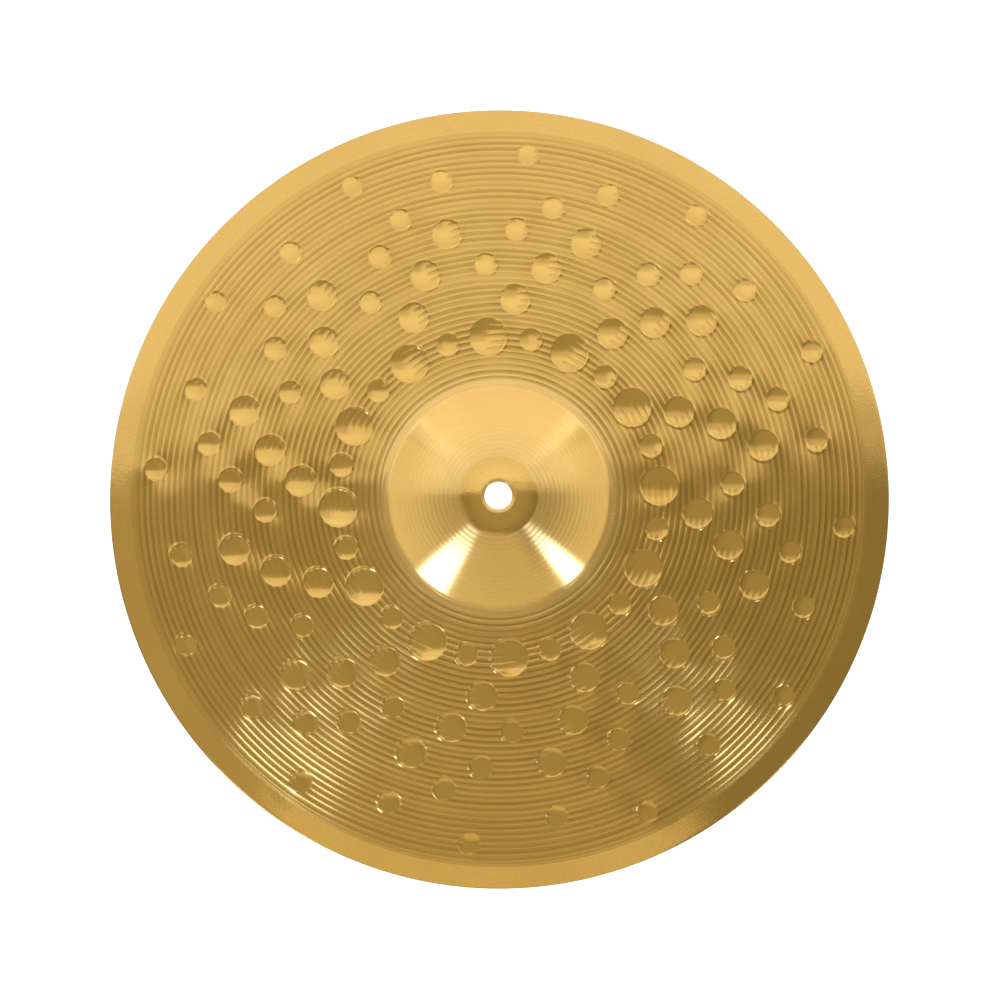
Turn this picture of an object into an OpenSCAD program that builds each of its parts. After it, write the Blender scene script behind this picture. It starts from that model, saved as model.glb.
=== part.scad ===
// Crash cymbal, 14 inch: one sheet of brass with a domed bell, a shallow bow and a centre hole,
// hammered from the top side in a pattern that repeats around the axis.
// The origin is on the axis at the height of the rim's lowest edge, and +Z runs up, out of the bell.

/* [Sheet] */
// Outer diameter of the cymbal
outer_d = 355.6; // [345:0.1:365]
// Height from the rim's lowest edge to the top of the bell, before the hole is cut
total_h = 35; // [32:0.5:40]
// Sheet thickness at the bell
bell_t = 1.2; // [1:0.05:1.4]
// Sheet thickness at the rim
rim_t = 0.8; // [0.6:0.05:1]

/* [Bell and bow] */
// Diameter of the bell where it meets the bow
bell_d = 100; // [96:0.5:104]
// Height that the bow's arc would reach at the axis, under the bell
bow_h = 19.5; // [17:0.5:22]
// Radius of the valley between the bell and the bow
valley_r = 5; // [1:0.5:6]

/* [Centre hole] */
// Diameter of the hole, which a stand's sleeve passes through
hole_d = 12.5; // [12:0.1:13]
// Width of the rounded lip around the hole
lip_w = 1.5; // [1:0.1:2]
// Depth of the rounded lip
lip_h = 0.25; // [0.2:0.05:0.5]

/* [Hammer marks] */
// Number of equal sectors that the hammered pattern repeats in
sector_count = 12; // [6:1:12]
// Radius of the hammer's round face, which sets how deep a mark of each diameter is
hammer_r = 60; // [50:1:90]

/* [Hidden] */
$fn = 180;
fine_fn = 1440;                // for the long arcs of the bow

// The marks of one sector: [distance from the axis, angle in degrees, diameter]
marks = [
    [73, 3.9, 17], [73, 18.6, 10],
    [90.5, 25.4, 13.5],
    [106.5, 3.3, 10], [106.5, 18.4, 13.5],
    [122.5, 11.2, 13.5], [122.5, 26.3, 10.5],
    [134.5, 19.5, 10],
    [147, 10.3, 10],
    [157.5, 25.2, 9.5]
];

crossing = 0.002;              // arcs that would only touch cross by this much instead
outer_r = outer_d / 2;
hole_r = hole_d / 2;

// The bow's two arcs are centred on the axis. The top one ends at the rim's upper edge, and the
// underside's at its lower edge, so the sheet thins evenly from the bell to the rim.
bow_r = cap_r(outer_r, bow_h - rim_t);
bow_c = bow_h - bow_r;
under_bow_r = cap_r(outer_r, bow_h - bell_t);
under_bow_c = bow_h - bell_t - under_bow_r;

// The bell's two arcs share one centre on the axis.
bell_foot_h = bow_c + sqrt(bow_r ^ 2 - (bell_d / 2) ^ 2);
bell_r = cap_r(bell_d / 2, total_h - bell_foot_h);
bell_c = total_h - bell_r;

// Radius of an arc that rises to this height over half its width
function cap_r(half_width, height) = (half_width ^ 2 + height ^ 2) / (2 * height);

// Thickness of the bow at distance r from the axis
function sheet_t(r) = bell_t + (rim_t - bell_t) * (r / outer_r) ^ 2;

// The area under one side of the sheet: under the bow's arc, the bell's arc and the valley between them
module area_under(bow_r, bow_c, bell_r, valley_r) {
    to_bow = bow_r + valley_r - crossing;
    to_bell = bell_r + valley_r - crossing;
    z = (to_bow ^ 2 - to_bell ^ 2 + bell_c ^ 2 - bow_c ^ 2) / (2 * (bell_c - bow_c));
    centre = [sqrt(to_bow ^ 2 - (z - bow_c) ^ 2), z];
    on_bow = [0, bow_c] + (bow_r - 0.2) / to_bow * (centre - [0, bow_c]);
    on_bell = [0, bell_c] + (bell_r - 0.2) / to_bell * (centre - [0, bell_c]);
    inside = centre + 1.5 * ((on_bow + on_bell) / 2 - centre);
    intersection() {
        union() {
            translate([0, bow_c]) circle(r = bow_r, $fn = fine_fn);
            translate([0, bell_c]) circle(r = bell_r);
        }
        translate([hole_r, -1]) square([outer_r - hole_r, total_h + 2]);
    }
    difference() {
        polygon([centre, on_bow, inside, on_bell]);
        translate(centre) circle(r = valley_r);
    }
}

// What the rounded lip takes off the hole's upper edge
module lip_cut() {
    lip_r = cap_r(lip_w, lip_h);
    x = hole_r + lip_w;
    z = bell_c + sqrt(bell_r ^ 2 - x ^ 2) + crossing;
    difference() {
        translate([hole_r - 1, z - lip_r]) square([lip_w + 1, lip_r + 2]);
        translate([x, z - lip_r]) circle(r = lip_r);
    }
}

// The sheet's section on one side of the axis
module sheet_section() {
    difference() {
        area_under(bow_r, bow_c, bell_r, valley_r);
        area_under(under_bow_r, under_bow_c, bell_r - bell_t, valley_r + bell_t);
        lip_cut();
    }
}

// A slice of the hammer's ball where it leaves a mark of diameter d. Its heights are from the bow's
// surface, and growth is what the ball's radius grows by.
module ball_slice(d, low, high, growth = 0) {
    intersection() {
        translate([0, 0, sqrt(hammer_r ^ 2 - (d / 2) ^ 2)]) sphere(r = hammer_r + growth);
        translate([0, 0, low]) cylinder(r = 1.2 * d, h = high - low);
    }
}

// Stands its children on the bow's top side at a mark of one sector
module at_mark(sector, mark) {
    translate([0, 0, bow_c])
        rotate([0, asin(mark[0] / bow_r), sector * 360 / sector_count + mark[1]])
            translate([0, 0, bow_r]) children();
}

// What the marks press out of the underside
module bumps() {
    for (sector = [0:sector_count - 1], mark = marks)
        at_mark(sector, mark)
            ball_slice(mark[2], -4, -sheet_t(mark[0]) / 2, sheet_t(mark[0]));
}

// What the marks press into the top side
module dents() {
    for (sector = [0:sector_count - 1], mark = marks)
        at_mark(sector, mark) ball_slice(mark[2], -2, 0.3);
}

module cymbal() {
    color("goldenrod")
        difference() {
            union() {
                rotate_extrude() sheet_section();
                bumps();
            }
            dents();
        }
}

cymbal();
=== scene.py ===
"""Crash cymbal: one sheet of lathed and hammered brass, on a pale floor in soft studio light.

The sheet is one closed mesh on a polar grid. Its rings follow the CAD section, with lathed grooves added,
and each hammer mark is pressed into the grid. The sheet's lengths are in millimetres until the mesh is
made. The materials, the studio and the camera are in metres.
"""

import math

import bpy
import numpy as np
from mathutils import Matrix, Vector


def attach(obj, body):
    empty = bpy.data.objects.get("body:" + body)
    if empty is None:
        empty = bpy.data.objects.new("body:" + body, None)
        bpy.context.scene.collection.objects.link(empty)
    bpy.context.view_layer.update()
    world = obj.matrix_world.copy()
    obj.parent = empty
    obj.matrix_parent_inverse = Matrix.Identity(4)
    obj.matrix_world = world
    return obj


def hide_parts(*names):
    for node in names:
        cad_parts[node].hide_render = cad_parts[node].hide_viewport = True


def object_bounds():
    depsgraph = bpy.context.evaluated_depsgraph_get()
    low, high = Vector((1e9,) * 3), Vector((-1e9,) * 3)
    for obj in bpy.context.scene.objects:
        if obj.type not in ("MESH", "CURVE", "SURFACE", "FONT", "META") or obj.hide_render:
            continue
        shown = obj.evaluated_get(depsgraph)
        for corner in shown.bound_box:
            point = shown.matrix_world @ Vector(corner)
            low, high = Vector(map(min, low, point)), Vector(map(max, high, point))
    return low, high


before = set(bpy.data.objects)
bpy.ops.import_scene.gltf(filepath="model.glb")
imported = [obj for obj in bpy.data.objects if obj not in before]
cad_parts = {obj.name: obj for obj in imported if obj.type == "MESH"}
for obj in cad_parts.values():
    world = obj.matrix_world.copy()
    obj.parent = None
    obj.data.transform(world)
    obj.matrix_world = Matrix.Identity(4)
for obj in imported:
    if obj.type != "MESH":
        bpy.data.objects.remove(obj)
cad_low, cad_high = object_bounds()
MM = 0.001
TURN = 2 * math.pi
rng = np.random.default_rng(14)

# ---------------------------------------------------------------- the sheet's section, as in the CAD
OUTER_R = cad_high.x / MM
HOLE_R = 6.25
TOTAL_H = 35.0
BELL_T, RIM_T = 1.2, 0.8
BELL_FOOT_R = 50.0
BOW_H = 19.5
VALLEY_R = 5.0
LIP_W, LIP_H = 1.5, 0.25


def cap_r(half_width, height):
    """Radius of an arc that rises to this height over half its width."""
    return (half_width**2 + height**2) / (2 * height)


def arc_z(centre, radius, r):
    """Height of an arc centred on the axis, at distance r from the axis."""
    return centre + np.sqrt(radius**2 - np.asarray(r, float) ** 2)


bow_r = cap_r(OUTER_R, BOW_H - RIM_T)
bow_c = BOW_H - bow_r
under_bow_r = cap_r(OUTER_R, BOW_H - BELL_T)
under_bow_c = BOW_H - BELL_T - under_bow_r
bell_r = cap_r(BELL_FOOT_R, TOTAL_H - float(arc_z(bow_c, bow_r, BELL_FOOT_R)))
bell_c = TOTAL_H - bell_r


def section(bow, bell, valley):
    """One side of the sheet: a function of the distance from the axis, and where its valley starts and ends.

    bow and bell are (centre, radius) of their arcs, and valley is the radius of the arc between them. The
    function gives the side's height and its outward tilt.
    """
    (bow_mid, bow_arc), (bell_mid, bell_arc) = bow, bell
    to_bow, to_bell = bow_arc + valley, bell_arc + valley
    z = (to_bow**2 - to_bell**2 + bell_mid**2 - bow_mid**2) / (2 * (bell_mid - bow_mid))
    x = math.sqrt(to_bow**2 - (z - bow_mid) ** 2)
    valley_in = x * bell_arc / to_bell
    valley_out = x * bow_arc / to_bow

    def at(r):
        r = np.asarray(r, float)
        on_bell = np.minimum(r, bell_arc)
        in_valley = np.clip(r, valley_in, valley_out)
        zones = [r < valley_in, r > valley_out]
        heights = [arc_z(bell_mid, bell_arc, on_bell), arc_z(bow_mid, bow_arc, r)]
        tilts = [np.arcsin(on_bell / bell_arc), np.arcsin(r / bow_arc)]
        valley_height = z - np.sqrt(valley**2 - (in_valley - x) ** 2)
        valley_tilt = np.arcsin((x - in_valley) / valley)
        return np.select(zones, heights, valley_height), np.select(zones, tilts, valley_tilt)

    return at, valley_in, valley_out


top, top_valley_in, top_valley_out = section((bow_c, bow_r), (bell_c, bell_r), VALLEY_R)
under, under_valley_in, under_valley_out = section(
    (under_bow_c, under_bow_r), (bell_c, bell_r - BELL_T), VALLEY_R + BELL_T
)

# ---------------------------------------------------------------- tool paths and rings of the top side
BELL_TURNS, BELL_FIRST, BELL_LAST = 14, 17.9, 44.05  # turns, first and last distance from the axis
BOW_TURNS, BOW_FIRST, BOW_PITCH = 41, 53.2, 2.78  # turns, first distance from the axis, and pitch
BOW_DEPTH, BELL_DEPTH = 0.14, 0.045
DEPTH_SPREAD = (0.8, 1.15)  # least and most depth of a turn, as a share
VALLEY_AT = 0.56  # where the valley lies across one turn, from crest to crest
SECOND_AT, SECOND_REACH, SECOND_DEPTH = 0.3, 0.12, 0.02  # a finer line near the band, placed in turns
TURN_ROWS = 10  # rings of the mesh per turn
BELL_WAVER, BOW_WAVER, UNDER_WAVER = 0.002, 0.003, 0.012  # most that a ring lies too high or too low
CROWN_STEP, FLANK_STEP, APRON_STEP, BAND_STEP = 0.7, 0.5, 0.25, 0.9
GAP, BAND_GAP, RIM_GAP = 0.2, 0.7, 0.6  # between neighbouring zones, before the band and before the rim
VALLEY_RINGS = 13
BOW, BELL, SATIN, PUNCHED, EDGE, UNDERSIDE = range(6)
SEGMENTS = 1440
INNER_SEGMENTS = SEGMENTS // 2
angles = np.arange(SEGMENTS) * TURN / SEGMENTS
inner_angles = np.arange(INNER_SEGMENTS) * TURN / INNER_SEGMENTS

# Where each path fades in and out, as (low, high) distances from the axis
BELL_FADES = (BELL_FIRST - 0.5, BELL_FIRST + 0.2), (44.6, 46)
BOW_FADES = (52.8, 53.6), (165.6, 166.4)
SECOND_FADES = (130, 156), (165, 166)


def smooth(x, low, high):
    """0 below low, 1 above high, and a smooth step between them."""
    t = np.clip((np.asarray(x, float) - low) / (high - low), 0, 1)
    return t * t * (3 - 2 * t)


def faded(r, fades):
    """Share of a path that is left at each ring: 1 between its two fades, and 0 outside them."""
    fade_in, fade_out = fades
    return (smooth(r, *fade_in) * (1 - smooth(r, *fade_out)))[:, None]


bell_first, bell_last = math.asin(BELL_FIRST / bell_r), math.asin(BELL_LAST / bell_r)
bell_pitch = (bell_last - bell_first) / (BELL_TURNS - 1)


def bell_place(turns):
    """Distance from the axis after this many turns of the bell's spiral. Its pitch is even on the arc."""
    return bell_r * np.sin(bell_first + turns * bell_pitch)


def bell_turns(r):
    """How many turns of the bell's spiral lie inside this distance from the axis."""
    return (np.arcsin(r / bell_r) - bell_first) / bell_pitch


def bow_turns(r):
    """How many turns of the bow's spiral lie inside this distance from the axis."""
    return (r - BOW_FIRST) / BOW_PITCH


def spiral_cut(turns, angle, count):
    """Depth of a spiral path cut by a round-nosed tool, from 0 on its crests to about 1 in its valleys.

    The second result is 1 on the finer line beside each crest and 0 away from it.
    """
    around = angle / TURN
    along = turns[:, None] + around
    arm = np.floor(along)
    phase = along - arm
    half = np.where(phase < VALLEY_AT, VALLEY_AT, 1 - VALLEY_AT)
    arms = count + 3
    uneven = np.interp(arm - around + 1, np.arange(arms), rng.uniform(*DEPTH_SPREAD, arms))
    second = np.clip(1 - np.abs(phase - SECOND_AT) / SECOND_REACH, 0, 1)
    return uneven * (1 - ((phase - VALLEY_AT) / half) ** 2), second


# The zones from the hole's lip outwards. The spirals lie on bell and bow.
crown = np.arange(HOLE_R + LIP_W + GAP, BELL_FIRST - GAP, CROWN_STEP)
bell = bell_place(np.arange(BELL_TURNS * TURN_ROWS + 1) / TURN_ROWS)
flank = np.arange(bell[-1] + 2 * GAP, top_valley_in - GAP, FLANK_STEP)
valley = np.linspace(top_valley_in, top_valley_out, VALLEY_RINGS)
apron = np.arange(top_valley_out + GAP, BOW_FIRST - GAP / 2, APRON_STEP)
bow = BOW_FIRST + BOW_PITCH * np.arange(BOW_TURNS * TURN_ROWS + 1) / TURN_ROWS
band = np.arange(bow[-1] + BAND_GAP, OUTER_R - RIM_GAP, BAND_STEP)

inner_r = np.concatenate([crown, bell, flank, valley])
inner_kind = np.repeat([SATIN, BELL], [len(crown), len(inner_r) - len(crown)])
outer_r = np.concatenate([apron, bow, band])
outer_kind = np.repeat([BOW, SATIN], [len(apron) + len(bow), len(band)])

inner_depth, _ = spiral_cut(bell_turns(inner_r), inner_angles, BELL_TURNS)
inner_depth *= faded(inner_r, BELL_FADES)
inner_height = rng.uniform(-BELL_WAVER, BELL_WAVER, (len(inner_r), 1)) - BELL_DEPTH * inner_depth

outer_depth, second_line = spiral_cut(bow_turns(outer_r), angles, BOW_TURNS)
outer_depth *= faded(outer_r, BOW_FADES)
second_line *= faded(outer_r, SECOND_FADES)
outer_groove = rng.uniform(-BOW_WAVER, BOW_WAVER, (len(outer_r), 1)) - BOW_DEPTH * outer_depth
outer_groove -= SECOND_DEPTH * second_line

# ---------------------------------------------------------------- hammer marks
# Distance from the axis, angle in degrees, diameter: one twelfth of the pattern, as in the CAD
MARKS = [
    (73, 3.9, 17), (73, 18.6, 10),
    (90.5, 25.4, 13.5),
    (106.5, 3.3, 10), (106.5, 18.4, 13.5),
    (122.5, 11.2, 13.5), (122.5, 26.3, 10.5),
    (134.5, 19.5, 10),
    (147, 10.3, 10),
    (157.5, 25.2, 9.5),
]
SECTORS = 12
DISH_SLOPE, DISH_REACH = 0.015, 0.6  # the shallow dish around a mark. Its reach is in the mark's radii
BURR_HEIGHT, BURR_LEAN = 0.1, 0.8  # the lip pushed up around a mark, higher on the clockwise side
BURR_OUT, BURR_WIDTH = 0.35, 0.5
BURR_WAVES = [(0.3, 3, 5), (0.35, 8, 11)]  # uneven lips: size, waves around a mark, shift from mark to mark
HAMMER_R = 50.0  # radius of the hammer's face, which makes the floors hollow
FLOOR_LEAN = 0.065  # slope of the floors towards the axis
EDGE_WIDTH = 0.45
EDGE_DEPTH, EDGE_LEAN = 0.12, 0.04  # the edge is deeper on the counter-clockwise side
LOBE_FILL = 0.035  # how much of a groove's depth is lost where it enters a mark
LOBE_RADII, LOBE_ENDS = [5, 6.75, 8.5], [0.6, 1.2, 1.7]  # how far grooves run into such marks, in radii
FLOOR_MARGIN, FLOOR_GROOVE = 0.1, 0.012  # floors are burnished this far in, where grooves are shallower
MARK_REACH = 3.5  # everything around a mark has faded out this many radii from its centre
WINDOW = 3.8  # the patch of the grid that holds a mark, in radii to each side


def marks():
    """Distance from the axis, angle in radians and radius of every mark."""
    for sector in range(SECTORS):
        for distance, angle, diameter in MARKS:
            yield distance, math.radians(angle + 360 / SECTORS * sector), diameter / 2


def press(ring, angle, groove):
    """Press the hammer marks into a polar grid.

    Gives the heights, grooves included, what the marks leave of the grooves, and where the floors are.
    """
    dish = np.zeros((len(ring), len(angle)))
    patches = []
    for distance, place, radius in marks():
        turn = (angle - place + math.pi) % TURN - math.pi
        rows = np.where(np.abs(ring - distance) < WINDOW * radius)[0]
        columns = np.where(np.abs(turn) * distance < WINDOW * radius)[0]
        window = np.ix_(rows, columns)
        u = ring[rows][:, None] * np.cos(turn[columns])[None] - distance
        v = ring[rows][:, None] * np.sin(turn[columns])[None]
        rho = np.hypot(u, v)
        reach = DISH_REACH * radius
        beyond = np.maximum(rho - radius, 0)
        down = DISH_SLOPE * reach * np.exp(-beyond / reach)
        down -= FLOOR_LEAN * u * np.exp(-beyond / reach)
        round_it = np.arctan2(v, u)
        uneven = 1
        for size, waves, shift in BURR_WAVES:
            uneven = uneven + size * np.sin(waves * round_it + shift * place)
        burr = uneven * np.exp(-(((rho - radius - BURR_OUT) / BURR_WIDTH) ** 2))
        down -= BURR_HEIGHT * (1 - BURR_LEAN * v / radius) * burr
        dish[window] -= down * smooth(MARK_REACH * radius - rho, 0, radius)
        patches.append((window, v, rho, radius))
    height = dish + groove
    grooves = groove.copy()
    floor = np.zeros(height.shape, bool)
    for window, v, rho, radius in patches:
        side = v / radius
        edge = EDGE_DEPTH + EDGE_LEAN * side
        lobe_end = np.interp(radius, LOBE_RADII, LOBE_ENDS)
        fill = LOBE_FILL + BOW_DEPTH * np.clip((side + 1) / lobe_end, 0, 1)
        left = np.minimum(0, groove[window] + fill)
        sag = (radius**2 - rho**2) / (2 * HAMMER_R)
        inside = smooth(radius - rho, -EDGE_WIDTH / 2, EDGE_WIDTH / 2)
        height[window] = height[window] * (1 - inside) + (dish[window] - edge - sag + left) * inside
        grooves[window] = grooves[window] * (1 - inside) + left * inside
        floor[window] |= (rho < radius - FLOOR_MARGIN) & (left > -FLOOR_GROOVE)
    return height, grooves, floor


# ---------------------------------------------------------------- the mesh
CHATTER = [(198, 9), (262.5, 4), (285, 6), (347, 8)]  # middle and half length of each, in degrees
CHATTER_IN, CHATTER_OUT, CHATTER_HEIGHT = 51.4, 52.9, 0.04
UNDER_RINGS = (40, 8, 150)  # on the bell, in the valley and on the bow
UNDER_FADE = (52, 58)  # between these distances from the axis the marks start to show underneath
UNDER_RIM_GAP = 0.5
RIM_ROUND, CORNER_RINGS, CORNER_ARC = 0.15, 5, 80  # the rim's rounded corners, and their arc in degrees
LIP_RINGS, LIP_GAP = 9, 0.08
LIP_DARK = 1  # rings of the lip that are as dark as the hole's wall
EDGE_BREAK = 0.04  # the bevel between the hole's wall and its lip
UNDER_BEVEL_W, UNDER_BEVEL_H = 0.4, 0.1  # the bevel between the hole's wall and the underside


def rings_to_points(radius, z, segments):
    """Points of rings, as (ring, segment, xyz). radius and z are one number per point."""
    a = np.arange(segments) * TURN / segments
    return np.stack([radius * np.cos(a), radius * np.sin(a), z], axis=-1)


def surface_rings(at, ring, height, segments):
    """Rings of one side of the sheet, moved along its normal by height."""
    z, tilt = at(ring)
    r = ring[:, None] + np.sin(tilt)[:, None] * height
    z = z[:, None] + np.cos(tilt)[:, None] * height
    return rings_to_points(np.broadcast_to(r, height.shape), z, segments)


def plain_rings(profile, segments):
    """Round rings through each (distance from the axis, height) of a profile."""
    profile = np.array(profile, float)
    shape = (len(profile), segments)
    radius, z = (np.broadcast_to(profile[:, axis : axis + 1], shape) for axis in (0, 1))
    return rings_to_points(radius, z, segments)


outer_height, outer_groove, outer_floor = press(outer_r, angles, outer_groove)

# Chatter of the lathe tool beside the valley, in short stretches that fade at their ends
chatter_rows = (outer_r > CHATTER_IN) & (outer_r < CHATTER_OUT)
degrees = np.degrees(angles)
strength = sum(np.exp(-(((degrees - middle) / half) ** 4)) for middle, half in CHATTER)
outer_height[chatter_rows] += CHATTER_HEIGHT * strength * rng.uniform(-1, 1, (chatter_rows.sum(), SEGMENTS))

# The underside: smooth bulges under the marks, and shallow tool lines
under_ends = [HOLE_R + UNDER_BEVEL_W, under_valley_in, under_valley_out, OUTER_R - UNDER_RIM_GAP]
under_zones = [np.linspace(*ends) for ends in zip(under_ends, under_ends[1:], UNDER_RINGS)]
under_ring = np.concatenate([under_zones[0]] + [zone[1:] for zone in under_zones[1:]])
under_lines = rng.uniform(-UNDER_WAVER, UNDER_WAVER, len(under_ring))
under_height, _, _ = press(under_ring, inner_angles, np.zeros((len(under_ring), INNER_SEGMENTS)))
under_height = under_height * smooth(under_ring, *UNDER_FADE)[:, None] + under_lines[:, None]

# The rim: two rounded corners, from the top side down to the underside
corner = np.radians(np.linspace(CORNER_ARC, 0, CORNER_RINGS))
corner_r = OUTER_R - RIM_ROUND + RIM_ROUND * np.cos(corner)
corner_z = RIM_ROUND * (1 - np.sin(corner))
rim = list(zip(corner_r, RIM_T - corner_z)) + list(zip(corner_r, corner_z))[::-1]

# The hole's lip and wall
lip_r = cap_r(LIP_W, LIP_H)
lip_x = HOLE_R + LIP_W
lip_top = float(top(lip_x)[0])
lip = [
    (r, lip_top - lip_r + math.sqrt(lip_r**2 - (lip_x - r) ** 2))
    for r in np.linspace(HOLE_R + EDGE_BREAK, lip_x - LIP_GAP, LIP_RINGS)
]
lip_low = lip[0][1]
wall_low = float(under(HOLE_R)[0]) + UNDER_BEVEL_H
wall = [(HOLE_R, wall_low), (HOLE_R, (wall_low + lip_low) / 2), (HOLE_R, lip_low - EDGE_BREAK)]

# All rings in order: up the hole's wall, over the top, round the rim and back underneath. Each block has its
# rings, their finish, and the share of a groove's depth at each point.
blocks = [
    (plain_rings(wall + lip[:LIP_DARK], INNER_SEGMENTS), EDGE, 0),
    (plain_rings(lip[LIP_DARK:], INNER_SEGMENTS), BELL, 0),
    (surface_rings(top, inner_r, inner_height, INNER_SEGMENTS), inner_kind, inner_depth),
    (surface_rings(top, outer_r, outer_height, SEGMENTS), outer_kind, -outer_groove / BOW_DEPTH),
    (plain_rings(rim, SEGMENTS), EDGE, 0),
    (surface_rings(under, under_ring[::-1], under_height[::-1], INNER_SEGMENTS), UNDERSIDE, 0),
]
# The share of a groove's depth at each point is also the mask for the painted shade in the bottoms of the
# bow's grooves
points, groove_depths, ring_start, ring_count, ring_kind = [], [], [], [], []
total = 0
for block, kinds, share in blocks:
    groove_depths.append(np.broadcast_to(np.clip(share, 0, 1), block.shape[:2]).ravel())
    for ring, kind in zip(block, np.broadcast_to(kinds, len(block))):
        points.append(ring)
        ring_start.append(total)
        ring_count.append(len(ring))
        ring_kind.append(int(kind))
        total += len(ring)
vertices = np.concatenate(points) * MM
groove_share = np.concatenate(groove_depths)
on_floor = np.zeros(total, bool)
outer_start = ring_start[len(wall) + len(lip) + len(inner_r)]
on_floor[outer_start : outer_start + outer_floor.size] = outer_floor.ravel()


def equal_faces(first, second, count):
    """Quads between two rings of count points, given the rings' first vertices."""
    here = np.arange(count)
    ahead = (here + 1) % count
    return np.stack([first + here, second + here, second + ahead, first + ahead], axis=1)


def doubling_faces(few, many, count):
    """Triangles from a ring of count points to a ring of twice as many, given the rings' first vertices."""
    step = np.arange(count)
    here, ahead = few + step, few + (step + 1) % count
    left, middle, right = many + 2 * step, many + 2 * step + 1, many + (2 * step + 2) % (2 * count)
    corners = (here, left, middle), (here, middle, ahead), (ahead, middle, right)
    return [np.stack(triangle, axis=1) for triangle in corners]


quads, quad_kind, tris, tri_kind = [], [], [], []
for k, kind in enumerate(ring_kind):
    after = (k + 1) % len(ring_kind)
    start, start_after = ring_start[k], ring_start[after]
    count, count_after = ring_count[k], ring_count[after]
    if count == count_after:
        quads.append(equal_faces(start, start_after, count))
        quad_kind.append(np.full(count, kind))
    elif count < count_after:
        tris += doubling_faces(start, start_after, count)
        tri_kind.append(np.full(3 * count, kind))
    else:
        tris += [triangle[:, [1, 0, 2]] for triangle in doubling_faces(start_after, start, count_after)]
        tri_kind.append(np.full(3 * count_after, kind))
quads, tris = np.concatenate(quads), np.concatenate(tris)
quad_kind, tri_kind = np.concatenate(quad_kind), np.concatenate(tri_kind)
quad_kind = np.where(on_floor[quads].sum(axis=1) >= 3, PUNCHED, quad_kind)

mesh = bpy.data.meshes.new("cymbal_sheet")
mesh.vertices.add(len(vertices))
mesh.vertices.foreach_set("co", vertices.astype(np.float32).ravel())
loop_vertices = np.concatenate([quads.ravel(), tris.ravel()]).astype(np.int32)
mesh.loops.add(len(loop_vertices))
mesh.loops.foreach_set("vertex_index", loop_vertices)
mesh.polygons.add(len(quads) + len(tris))
loop_starts = np.concatenate([np.arange(len(quads)) * 4, len(quads) * 4 + np.arange(len(tris)) * 3])
mesh.polygons.foreach_set("loop_start", loop_starts.astype(np.int32))
mesh.polygons.foreach_set("material_index", np.concatenate([quad_kind, tri_kind]).astype(np.int32))
mesh.update(calc_edges=True)
# The groove attribute carries that mask to the materials, where the bow paints shade into its groove bottoms
mesh.attributes.new("groove", "FLOAT", "POINT").data.foreach_set("value", groove_share.astype(np.float32))
mesh.validate()
mesh.shade_smooth()
cymbal = bpy.data.objects.new("cymbal_sheet", mesh)
bpy.context.scene.collection.objects.link(cymbal)

# ---------------------------------------------------------------- materials
LINES_ACROSS, LINES_ALONG = 2600.0, 5.0  # scale of the fine tool lines outwards and around the axis
LINES_RANGE = (0.3, 0.7)  # part of the noise's range that the roughness follows
LINES_SPREAD = (0.85, 1.15)  # least and most roughness that the lines give, as a share
CLOUD_SCALE, CLOUD_RANGE = 22.0, (0.35, 0.65)
GRAIN_SCALE, SPECK_RANGE, SPECK_SHARE = 1500.0, (0.4, 0.65), 0.35
BUMP_DISTANCE = 0.0001  # height of the bumps, in metres
BELL_FADE = (0.051, 0.062)  # where the colour by the bell turns into the bow's own
GROOVE_POWER = 4.0  # keeps the shade to the bottoms of the grooves
CLOUD_SHADE = (0.95, 0.925, 0.88)
# Painted shade: the colour towards which the bottoms of the bow's grooves are darkened, standing in for the
# darker reflections in them
PAINTED_GROOVE_SHADE = (0.45, 0.38, 0.3)
SPECK_SHADE = (0.75, 0.75, 0.75)


class Nodes:
    """Short ways to add and join the nodes of one material."""

    def __init__(self, name):
        self.material = bpy.data.materials.new(name)
        self.material.use_nodes = True
        self.tree = self.material.node_tree
        self.shader = self.tree.nodes["Principled BSDF"]

    def add(self, kind, inputs=None, **settings):
        node = self.tree.nodes.new(kind)
        for name, value in settings.items():
            setattr(node, name, value)
        for name, value in (inputs or {}).items():
            self.set(node.inputs[name], value)
        return node

    def set(self, socket, value):
        if isinstance(value, bpy.types.NodeSocket):
            self.tree.links.new(value, socket)
        else:
            socket.default_value = value

    def math(self, operation, a, b):
        return self.add("ShaderNodeMath", {0: a, 1: b}, operation=operation).outputs[0]

    def vector(self, operation, inputs):
        return self.add("ShaderNodeVectorMath", inputs, operation=operation).outputs

    def noise(self, vector, scale, detail):
        inputs = {"Vector": vector, "Scale": scale, "Detail": detail}
        return self.add("ShaderNodeTexNoise", inputs).outputs["Fac"]

    def ramp(self, value, limits, results=(0.0, 1.0)):
        """The value, with limits turned into results and nothing beyond them."""
        inputs = {"Value": value, "From Min": limits[0], "From Max": limits[1]}
        inputs.update({"To Min": results[0], "To Max": results[1]})
        return self.add("ShaderNodeMapRange", inputs).outputs["Result"]

    def mix(self, factor, a, b):
        """Colour a where factor is 0, and b where it is 1. Each is a socket or an RGB colour."""
        node = self.add("ShaderNodeMix", {"Factor": factor}, data_type="RGBA")
        for name, color in (("A", a), ("B", b)):
            self.set(node.inputs[name], color if isinstance(color, bpy.types.NodeSocket) else (*color, 1))
        return node.outputs["Result"]

    def bump(self, height, strength, normal=None):
        """Bump from a height, on top of the bump in normal where there is one."""
        inputs = {"Height": height, "Strength": strength, "Distance": BUMP_DISTANCE}
        node = self.add("ShaderNodeBump", inputs)
        if normal is not None:
            self.set(node.inputs["Normal"], normal)
        return node.outputs["Normal"]


def shade(color, shares):
    return tuple(part * share for part, share in zip(color, shares))


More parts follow.
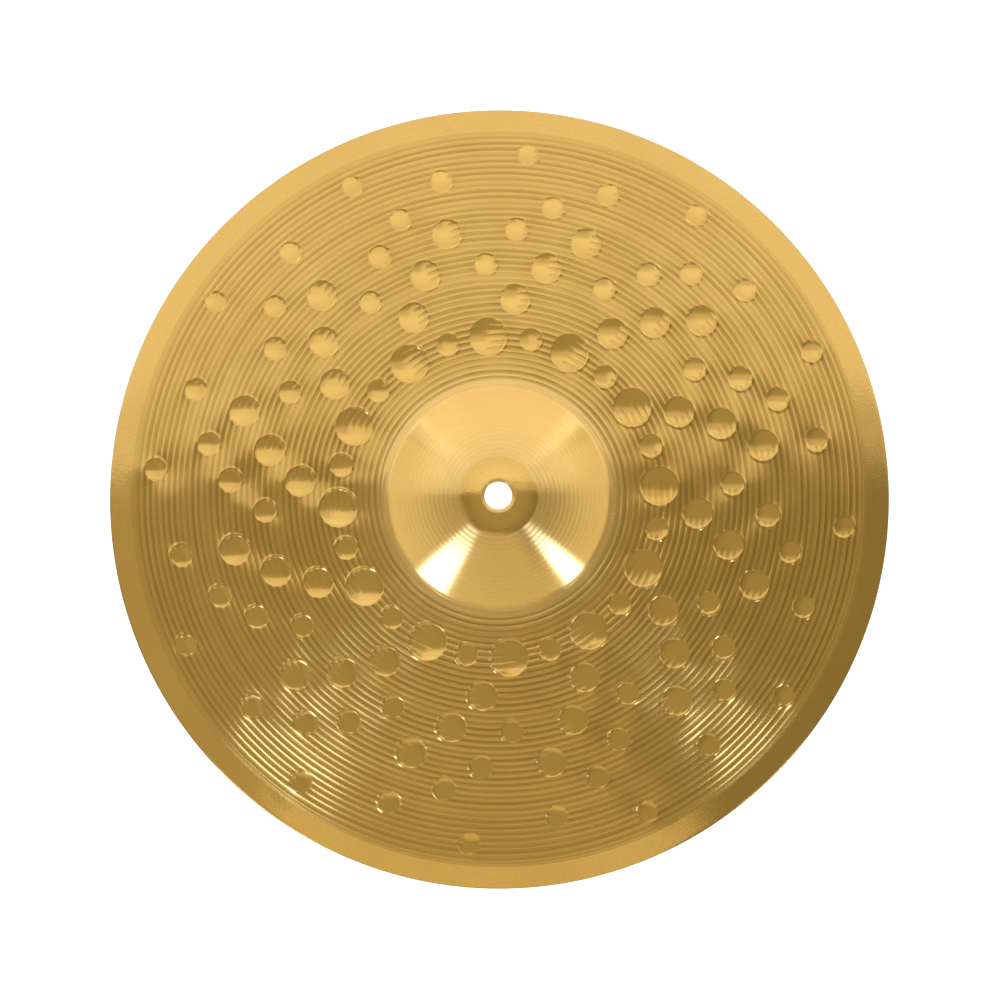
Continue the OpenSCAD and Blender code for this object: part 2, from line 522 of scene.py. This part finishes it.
def lathe_lines(n, flat, r):
    """Noise in long thin streaks around the axis. flat is the place without its height, and r its length."""
    unit = n.vector("NORMALIZE", {0: flat})["Vector"]
    around = n.vector("SCALE", {0: unit, "Scale": LINES_ALONG})["Vector"]
    up = n.add("ShaderNodeCombineXYZ", {"Z": n.math("MULTIPLY", r, LINES_ACROSS)}).outputs[0]
    return n.noise(n.vector("ADD", {0: around, 1: up})["Vector"], 1.0, 2.0)


def brass(name, color, roughness, anisotropy, line_bump, grain_bump=0.0, painted_valley_shade=0.0, by_the_bell=None):
    """Brass with fine tool lines in its roughness and its bump.

    grain_bump adds a fine grain with dark specks. The valley shade argument paints shade into the bottoms of
    the grooves, standing in for the darker reflections there. by_the_bell is the colour that the sheet has
    near the bell.
    """
    n = Nodes(name)
    place = n.add("ShaderNodeTexCoord").outputs["Object"]
    flat = n.vector("MULTIPLY", {0: place, 1: (1, 1, 0)})["Vector"]
    r = n.vector("LENGTH", {0: flat})["Value"]
    clouds = n.ramp(n.noise(place, CLOUD_SCALE, 4.0), CLOUD_RANGE)
    shown = n.mix(clouds, color, shade(color, CLOUD_SHADE))
    if by_the_bell:
        shown = n.mix(n.ramp(r, BELL_FADE), by_the_bell, shown)
    # Painted shade: the bottoms of the grooves are darkened, standing in for the darker reflections in them
    if painted_valley_shade:
        depth = n.add("ShaderNodeAttribute", attribute_name="groove").outputs["Fac"]
        bottom = n.math("POWER", depth, GROOVE_POWER)
        shown = n.mix(n.math("MULTIPLY", bottom, painted_valley_shade), shown, shade(color, PAINTED_GROOVE_SHADE))
    lines = lathe_lines(n, flat, r)
    normal = n.bump(lines, line_bump)
    if grain_bump:
        grain = n.noise(place, GRAIN_SCALE, 2.0)
        shown = n.mix(n.ramp(grain, SPECK_RANGE, (0.0, SPECK_SHARE)), shown, shade(color, SPECK_SHADE))
        normal = n.bump(grain, grain_bump, normal)
    n.set(n.shader.inputs["Base Color"], shown)
    n.set(n.shader.inputs["Roughness"], n.ramp(lines, LINES_RANGE, [roughness * k for k in LINES_SPREAD]))
    n.set(n.shader.inputs["Normal"], normal)
    n.shader.inputs["Metallic"].default_value = 1.0
    n.shader.inputs["Anisotropic"].default_value = anisotropy
    if anisotropy:
        tangent = n.add("ShaderNodeTangent", direction_type="RADIAL", axis="Z")
        n.set(n.shader.inputs["Tangent"], tangent.outputs["Tangent"])
        n.shader.inputs["Anisotropic Rotation"].default_value = 0.25  # roughest across the tool lines
    return n.material


BRASS = (0.93, 0.56, 0.135)
BOW_BRASS = (0.79, 0.475, 0.115)
FLOOR_BRASS = (0.86, 0.52, 0.125)
PALE_BRASS = (0.95, 0.6, 0.18)
DARK_BRASS = (0.3, 0.17, 0.04)
# The bow's finish: painted shade in the bottoms of its grooves, and a paler colour near the bell
LATHED_BOW = {"painted_valley_shade": 0.5, "by_the_bell": PALE_BRASS}
finishes = {
    BOW: brass("brass_bow", BOW_BRASS, roughness=0.19, anisotropy=0.85, line_bump=0.25, **LATHED_BOW),
    BELL: brass("brass_bell", PALE_BRASS, roughness=0.24, anisotropy=0.95, line_bump=0.12),
    SATIN: brass("brass_satin", BRASS, roughness=0.09, anisotropy=0.3, line_bump=0.08, grain_bump=0.2),
    PUNCHED: brass("brass_punched", FLOOR_BRASS, roughness=0.11, anisotropy=0.0, line_bump=0.1),
    EDGE: brass("brass_edge", DARK_BRASS, roughness=0.4, anisotropy=0.0, line_bump=0.1),
    UNDERSIDE: brass("brass_underside", BRASS, roughness=0.32, anisotropy=0.85, line_bump=0.4),
}
for index in sorted(finishes):
    mesh.materials.append(finishes[index])

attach(cymbal, "root")
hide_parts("cymbal")

# ---------------------------------------------------------------- studio
scene = bpy.context.scene
scene.view_settings.view_transform = "Standard"


def direction(azimuth, zenith):
    """Unit vector at an azimuth from +X towards +Y, tilted from straight up by zenith, in degrees."""
    a, t = math.radians(azimuth), math.radians(zenith)
    return Vector((math.cos(a) * math.sin(t), math.sin(a) * math.sin(t), math.cos(t)))


def panel(name, centre, facing, width, height, radiance, color=(1, 1, 1)):
    """A rectangular area light that gives the same radiance whatever its size."""
    light = bpy.data.lights.new(name, "AREA")
    light.shape = "RECTANGLE"
    light.size, light.size_y = width, height
    light.energy = radiance * math.pi * width * height
    light.color = color
    lamp = bpy.data.objects.new(name, light)
    lamp.location = centre
    lamp.rotation_mode = "QUATERNION"
    lamp.rotation_quaternion = Vector(facing).to_track_quat("-Z", "Y")
    scene.collection.objects.link(lamp)


# The ceiling: panels that face down, on the +Y side of the cymbal. Its near edge differs left and right.
CEILING = 2.2
EDGE_LEFT, EDGE_RIGHT = 0.17, 0.225
MIDDLE, FAR = 0.46, 1.1
SPAN, BACK = 2.6, 2.5
DAYLIGHT = (0.96, 1.04, 1.4)


def ceiling(name, x0, x1, y0, y1, radiance):
    centre = ((x0 + x1) / 2, (y0 + y1) / 2, CEILING)
    panel(name, centre, (0, 0, -1), x1 - x0, y1 - y0, radiance, DAYLIGHT)


ceiling("ceiling_left", -SPAN, 0, EDGE_LEFT, MIDDLE, 0.56)
ceiling("ceiling_right", 0, SPAN, EDGE_RIGHT, MIDDLE, 0.32)
ceiling("ceiling_mid", -SPAN, SPAN, MIDDLE, FAR, 0.67)
ceiling("ceiling_back", -SPAN, SPAN, FAR, BACK, 0.66)

# The walls
WALL_H, WALL_AT = 1.9, 1.25
SIDE, SIDE_AT, SIDE_W, SIDE_H = 2.2, 1.1, 3.0, 2.0
panel("wall_back", (0, BACK, WALL_AT), (0, -1, 0), 2 * SPAN, WALL_H, 0.42, DAYLIGHT)
panel("side_left", (-SIDE, 0, SIDE_AT), (1, 0, 0), SIDE_W, SIDE_H, 0.14, DAYLIGHT)
panel("side_right", (SIDE, 0, SIDE_AT), (-1, 0, 0), SIDE_W, SIDE_H, 0.15, DAYLIGHT)

# Upright strips that face the axis. A weaker strip stands on top of each key strip.
KEY = (0.75, 1.0, 1.9)
KEY_AT, KEY_LOW, KEY_HIGH, KEY_TOP = 1.2, 0.3, 1.2, 1.6
KEY_SIDES = (("left", 229.8, 0.39), ("right", 315.3, 0.265))  # azimuth in degrees, and width
BACK_AT, BACK_W, BACK_LOW, BACK_HIGH = 1.8, 0.3, 0.3, 1.8
KEY_RADIANCE, HIGH_RADIANCE, BACK_RADIANCE = 5.5, 1.0, 0.25
BACK_SIDES = (("left", 138), ("right", 47))


def strip(name, azimuth, distance, width, low, high, radiance):
    a = math.radians(azimuth)
    away = Vector((math.cos(a), math.sin(a), 0))
    centre = away * distance + Vector((0, 0, (low + high) / 2))
    panel(name, centre, -away, width, high - low, radiance, KEY)


for side, azimuth, width in KEY_SIDES:
    strip("key_" + side, azimuth, KEY_AT, width, KEY_LOW, KEY_HIGH, KEY_RADIANCE)
for side, azimuth, width in KEY_SIDES:
    strip("high_" + side, azimuth, KEY_AT, width, KEY_HIGH, KEY_TOP, HIGH_RADIANCE)
for side, azimuth in BACK_SIDES:
    strip("back_" + side, azimuth, BACK_AT, BACK_W, BACK_LOW, BACK_HIGH, BACK_RADIANCE)

# Soft panels high up on the -X and -Y sides
FILL_AT = 1.8


def fill(name, azimuth, zenith, width, height, radiance):
    away = direction(azimuth, zenith)
    panel(name, away * FILL_AT, -away, width, height, radiance)


fill("fill_left", 202, 31, 1.0, 0.5, 0.18)
fill("fill_front", 266, 32, 1.15, 0.55, 0.4)

# The sky: (sine of the elevation, radiance)
SKY = [(0.0, 0.7), (0.68, 0.66), (0.78, 0.28), (0.92, 0.28), (0.96, 0.42)]
SKY_COLOR = (1, 0.98, 0.8, 1)
world = bpy.data.worlds.new("studio")
scene.world = world
world.use_nodes = True
sky = world.node_tree
toward = sky.nodes.new("ShaderNodeTexCoord").outputs["Generated"]
split = sky.nodes.new("ShaderNodeSeparateXYZ")
sky.links.new(toward, split.inputs[0])
rise = sky.nodes.new("ShaderNodeValToRGB")
while len(rise.color_ramp.elements) < len(SKY):
    rise.color_ramp.elements.new(0.5)
for stop, (where, radiance) in zip(rise.color_ramp.elements, SKY):
    stop.position = where
    stop.color = (radiance, radiance, radiance, 1)
sky.links.new(split.outputs["Z"], rise.inputs["Fac"])
sky.links.new(rise.outputs["Color"], sky.nodes["Background"].inputs["Strength"])
sky.nodes["Background"].inputs["Color"].default_value = SKY_COLOR

# The floor: pale paper with a glow of its own, so that it shows as white
FLOOR_HALF = 40.0
FLOOR_GLOW = 0.92
floor_mesh = bpy.data.meshes.new("floor")
floor_corners = [(x * FLOOR_HALF, y * FLOOR_HALF, 0) for x, y in ((-1, -1), (1, -1), (1, 1), (-1, 1))]
floor_mesh.from_pydata(floor_corners, [], [(0, 1, 2, 3)])
floor_object = bpy.data.objects.new("floor", floor_mesh)
scene.collection.objects.link(floor_object)
paper = Nodes("pale_floor")
paper.shader.inputs["Base Color"].default_value = (0.8, 0.8, 0.8, 1)
paper.shader.inputs["Roughness"].default_value = 0.9
paper.shader.inputs["Emission Color"].default_value = (1, 1, 1, 1)
paper.shader.inputs["Emission Strength"].default_value = FLOOR_GLOW
floor_mesh.materials.append(paper.material)

# ---------------------------------------------------------------- camera
DISTANCE = 2.5
FIELD = 0.4565  # width of what the camera shows at its target
TARGET = Vector((0.00038, -0.00067, 0.0))  # centres the rim's outline in the picture
FROM_TARGET = direction(286.3, 2.3)
camera_data = bpy.data.cameras.new("camera")
camera_data.sensor_width = 36.0
camera_data.lens = camera_data.sensor_width * DISTANCE / FIELD
camera = bpy.data.objects.new("camera", camera_data)
scene.collection.objects.link(camera)
right = Vector((0, 1, 0)).cross(FROM_TARGET).normalized()
turned = Matrix((right, FROM_TARGET.cross(right), FROM_TARGET)).transposed()
camera.matrix_world = Matrix.Translation(TARGET + FROM_TARGET * DISTANCE) @ turned.to_4x4()
scene.camera = camera
